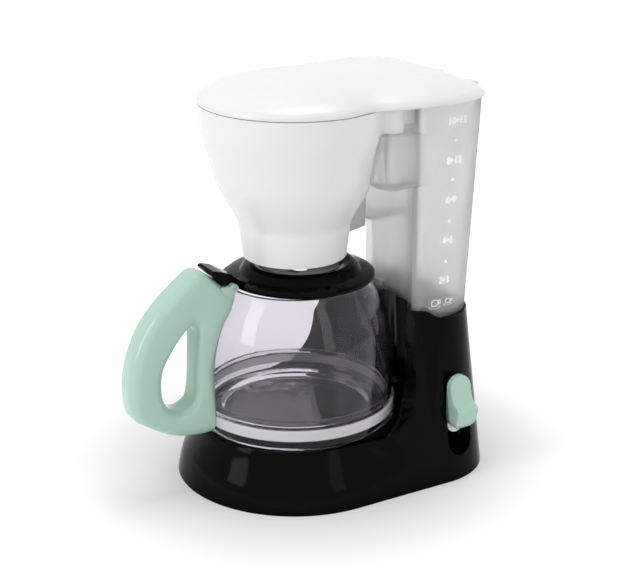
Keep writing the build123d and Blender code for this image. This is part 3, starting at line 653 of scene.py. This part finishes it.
class TOY_OT_handle(bpy.types.Operator):
    """Add the mint handle and the cover on its far side"""
    bl_idname = "toy.handle"
    bl_label = "Jug handle"

    def execute(self, context):
        split = HANDLE_SPLIT * MM
        gap = HANDLE_GAP * MM
        near_half = half_of(handle_ring(), split + gap, True)
        far_half = half_of(handle_ring(), split - gap, False)
        front = new_piece("jug_handle_grip", near_half, "jug", "mint_plastic", 50)
        rear = new_piece("jug_handle_far_side", far_half, "jug", "mint_plastic", 50)
        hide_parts("jug_handle")
        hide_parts("jug_handle_cover")
        for side, (low_x, high_x) in (("near", EAR_X), ("far", (-EAR_X[1], -EAR_X[0]))):
            bm = bmesh.new()
            add_ear(bm, low_x, high_x)
            new_piece(f"jug_lid_ear_{side}", bm, "jug", "mint_plastic", 40)
        return {"FINISHED"}


class TOY_OT_jug_lid(bpy.types.Operator):
    """Add the black jug lid"""
    bl_idname = "toy.jug_lid"
    bl_label = "Jug lid"

    def execute(self, context):
        mould = context.scene.toy_mould
        rounded_copy("jug_lid", mould.fine_edge, mould.segments)
        return {"FINISHED"}


class TOY_OT_switch(bpy.types.Operator):
    """Add the mint button and its white slide"""
    bl_idname = "toy.switch"
    bl_label = "Switch"

    def execute(self, context):
        mould = context.scene.toy_mould
        rounded_copy("switch_button", mould.edge, mould.segments)
        dress("switch_carriage")
        return {"FINISHED"}


class TOY_OT_metal(bpy.types.Operator):
    """Finish the screws, pins and the spring"""
    bl_idname = "toy.metal"
    bl_label = "Screws and pins"

    def execute(self, context):
        for node in NODES:
            if slot_of_node(node) == "steel":
                dress(node)
        return {"FINISHED"}


def area_lamp(name, place, target, size, power):
    lamp = bpy.data.lights.new(name, "AREA")
    lamp.shape = "RECTANGLE"
    lamp.size = size[0]
    lamp.size_y = size[1]
    lamp.energy = power
    obj = bpy.data.objects.new(name, lamp)
    obj.location = place
    obj.rotation_euler = (Vector(target) - Vector(place)).to_track_quat("-Z", "Y").to_euler()
    bpy.context.scene.collection.objects.link(obj)
    return obj


def background_rays(tree):
    """Socket that is 1 for rays that see the background: direct, mirrored or through clear plastic."""
    path = tree.nodes.new("ShaderNodeLightPath")
    kind = path.outputs["Is Camera Ray"]
    for other in ("Is Transmission Ray", "Is Glossy Ray"):
        either = tree.nodes.new("ShaderNodeMath")
        either.operation = "MAXIMUM"
        tree.links.new(kind, either.inputs[0])
        tree.links.new(path.outputs[other], either.inputs[1])
        kind = either.outputs[0]
    return kind


def white_background(world, strength):
    """Even light on the object and a white background behind it."""
    world.use_nodes = True
    tree = world.node_tree
    tree.nodes.clear()
    light = tree.nodes.new("ShaderNodeBackground")
    light.inputs["Color"].default_value = (1, 1, 1, 1)
    light.inputs["Strength"].default_value = strength
    shown = tree.nodes.new("ShaderNodeBackground")
    shown.inputs["Color"].default_value = (1, 1, 1, 1)
    shown.inputs["Strength"].default_value = 1.0
    mix = tree.nodes.new("ShaderNodeMixShader")
    out = tree.nodes.new("ShaderNodeOutputWorld")
    tree.links.new(background_rays(tree), mix.inputs["Fac"])
    tree.links.new(light.outputs[0], mix.inputs[1])
    tree.links.new(shown.outputs[0], mix.inputs[2])
    tree.links.new(mix.outputs[0], out.inputs["Surface"])


def floor_paper():
    """Pale matt paper, white further out, that keeps the shadow near the object."""
    mat, shader = principled("floor_paper")
    shader.inputs["Specular IOR Level"].default_value = 0.1
    mould_texture(mat, shader, (0.96, 0.96, 0.96), 0.8, scale=20.0, depth=0.02, spread=0.004)
    place = mat.node_tree.nodes.new("ShaderNodeTexCoord")
    far = mat.node_tree.nodes.new("ShaderNodeVectorMath")
    far.operation = "LENGTH"
    link(mat, place.outputs["Object"], far.inputs[0])
    total = mat.node_tree.nodes.new("ShaderNodeMath")
    total.operation = "ADD"
    for index, (start, end, amount) in enumerate(FLOOR_FADES):
        fade = mat.node_tree.nodes.new("ShaderNodeMapRange")
        fade.interpolation_type = "SMOOTHSTEP"
        fade.inputs["From Min"].default_value = start
        fade.inputs["From Max"].default_value = end
        fade.inputs["To Max"].default_value = amount
        link(mat, far.outputs["Value"], fade.inputs["Value"])
        link(mat, fade.outputs["Result"], total.inputs[index])
    glow = mat.node_tree.nodes.new("ShaderNodeMath")
    glow.operation = "MULTIPLY"
    link(mat, total.outputs[0], glow.inputs[0])
    link(mat, background_rays(mat.node_tree), glow.inputs[1])
    shader.inputs["Emission Color"].default_value = (1, 1, 1, 1)
    link(mat, glow.outputs["Value"], shader.inputs["Emission Strength"])
    return mat


class TOY_OT_stage(bpy.types.Operator):
    """Add the floor, the lamps and the camera"""
    bl_idname = "toy.stage"
    bl_label = "Stage"

    def execute(self, context):
        scene = context.scene
        studio = scene.toy_studio
        bm = bmesh.new()
        bmesh.ops.create_grid(bm, x_segments=1, y_segments=1, size=3.0)
        mesh = bpy.data.meshes.new("floor")
        bm.to_mesh(mesh)
        bm.free()
        floor = bpy.data.objects.new("floor", mesh)
        scene.collection.objects.link(floor)
        mesh.materials.append(floor_paper())

        aim = Vector(studio.aim)
        turn = math.radians(studio.azimuth)
        rise = math.radians(studio.elevation)
        back = Vector((math.sin(turn) * math.cos(rise), -math.cos(turn) * math.cos(rise), math.sin(rise)))
        camera = bpy.data.objects.new("camera", bpy.data.cameras.new("camera"))
        camera.data.lens = studio.lens
        camera.data.sensor_width = 36.0
        camera.data.sensor_fit = "HORIZONTAL"
        camera.data.clip_start = 0.01
        camera.location = aim + back * studio.distance
        camera.rotation_euler = (-back).to_track_quat("-Z", "Y").to_euler()
        scene.collection.objects.link(camera)
        scene.camera = camera

        middle = (0, 0, 0.1)
        area_lamp("softbox_left", (0.0, -1.0, 0.5), middle, (0.35, 0.6), studio.key * 1.35)
        area_lamp("softbox_right", (1.0, 0.2, 0.5), middle, (0.25, 0.7), studio.key * 0.35)
        area_lamp("softbox_top", (0.0, 0.1, 1.2), middle, (0.6, 0.6), studio.key * 1.7)
        scene.world = bpy.data.worlds.new("studio")
        white_background(scene.world, studio.world)
        scene.view_settings.view_transform = "Standard"
        return {"FINISHED"}


class TOY_PT_panel(bpy.types.Panel):
    """The pieces of the toy coffee maker"""
    bl_idname = "TOY_PT_panel"
    bl_label = "Toy coffee maker"
    bl_space_type = "VIEW_3D"
    bl_region_type = "UI"
    bl_category = "Toy coffee maker"

    def draw(self, context):
        for operator in OPERATORS:
            self.layout.operator(operator.bl_idname)
        for group in ("toy_plastic", "toy_mould", "toy_scale", "toy_studio"):
            box = self.layout.box()
            settings = getattr(context.scene, group)
            for name in settings.__annotations__:
                box.prop(settings, name)


SETTINGS = {
    "toy_plastic": PlasticSettings,
    "toy_mould": MouldSettings,
    "toy_scale": ScaleSettings,
    "toy_studio": StudioSettings,
}
OPERATORS = (
    TOY_OT_stage, TOY_OT_housing, TOY_OT_tank, TOY_OT_scale, TOY_OT_lid, TOY_OT_filter, TOY_OT_jug,
    TOY_OT_handle, TOY_OT_jug_lid, TOY_OT_switch, TOY_OT_metal,
)


def register():
    for name, settings in SETTINGS.items():
        bpy.utils.register_class(settings)
        setattr(bpy.types.Scene, name, PointerProperty(type=settings))
    for operator in OPERATORS:
        bpy.utils.register_class(operator)
    bpy.utils.register_class(TOY_PT_panel)


def unregister():
    bpy.utils.unregister_class(TOY_PT_panel)
    for operator in reversed(OPERATORS):
        bpy.utils.unregister_class(operator)
    for name, settings in SETTINGS.items():
        delattr(bpy.types.Scene, name)
        bpy.utils.unregister_class(settings)


def main():
    register()
    for operator in OPERATORS:
        group, name = operator.bl_idname.split(".")
        getattr(getattr(bpy.ops, group), name)()


if __name__ == "__main__":
    main()
